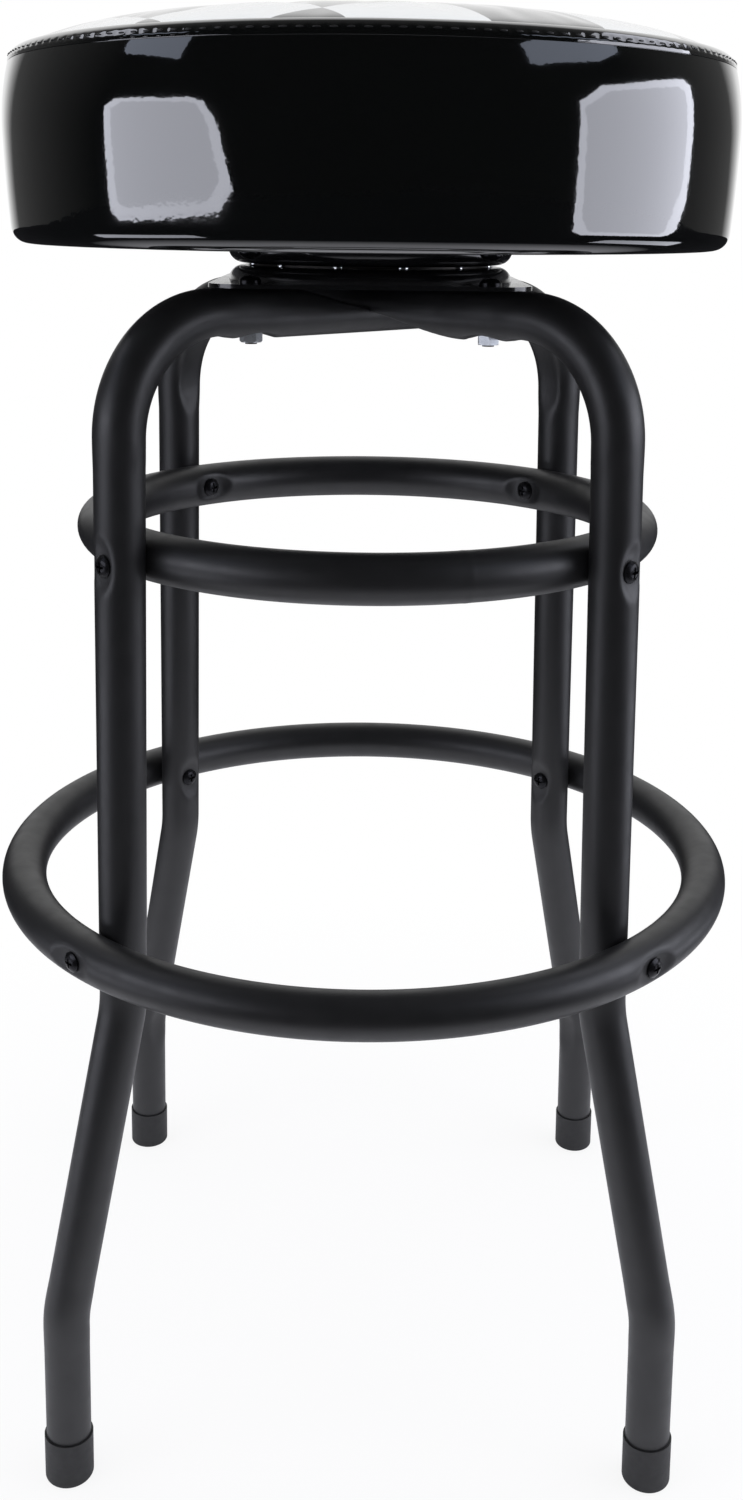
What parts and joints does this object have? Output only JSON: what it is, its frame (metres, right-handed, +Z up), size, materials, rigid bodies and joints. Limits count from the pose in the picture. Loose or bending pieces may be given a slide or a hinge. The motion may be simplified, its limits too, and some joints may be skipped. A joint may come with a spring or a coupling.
{
  "type": "swivel bar stool",
  "caption": "Backless swivel stool with a round padded seat, crossed bent-tube legs, an inner brace ring and an outer foot ring.",
  "frame": {"origin": "on the swivel axis at floor level, under the middle of the seat", "axes": "+Z up along the swivel axis; the front faces -Y, with the legs on the diagonals between the X and Y axes"},
  "size_m": [0.4276, 0.4276, 0.7715],
  "materials": {
    "black_tube": "satin black powder coat",
    "black_fastener": "black oxide on screws, bolts and rivet",
    "foot_cap": "matte black moulded rubber",
    "swivel_plate": "black painted pressed steel",
    "zinc_steel": "bright zinc plate",
    "ball_steel": "polished bearing steel",
    "cage_steel": "dark oiled sheet steel",
    "black_vinyl": "gloss vinyl",
    "check_vinyl": "gloss vinyl with black and white checks",
    "foam": "polyurethane foam",
    "plywood": "plain plywood",
    "dust_cloth": "black non-woven cloth"
  },
  "bodies": {
    "base": {"leg_hoop_under": "black_tube", "leg_hoop_over": "black_tube", "upper_ring": "black_tube", "foot_ring": "black_tube", "upper_ring_screws": "black_fastener", "upper_ring_sleeve_nuts": "black_fastener", "foot_ring_screws": "black_fastener", "foot_ring_sleeve_nuts": "black_fastener", "foot_cap_back_right": "foot_cap", "foot_cap_back_left": "foot_cap", "foot_cap_front_left": "foot_cap", "foot_cap_front_right": "foot_cap", "swivel_lower_plate": "swivel_plate", "swivel_rivet": "black_fastener", "swivel_bolts": "black_fastener", "swivel_nuts": "zinc_steel"},
    "bearing": {"ball_cage": "cage_steel", "bearing_balls": "ball_steel"},
    "seat": {"swivel_upper_plate": "swivel_plate", "seat_board": "plywood", "dust_cover": "dust_cloth", "seat_screws": "black_fastener", "foam_cushion": "foam", "side_band": "black_vinyl", "top_cover": "check_vinyl"}
  },
  "joints": [
    {"name": "seat_swivel", "type": "hinge", "parent": "base", "child": "seat", "pos_m": [0, 0, 0.6565], "axis": [0, 0, 1], "continuous": true},
    {"name": "ball_cage_turn", "type": "hinge", "parent": "base", "child": "bearing", "pos_m": [0, 0, 0.6565], "axis": [0, 0, 1], "continuous": true}
  ],
  "couplings": [
    {"joint": "ball_cage_turn", "follows": "seat_swivel", "ratio": 0.5}
  ]
}
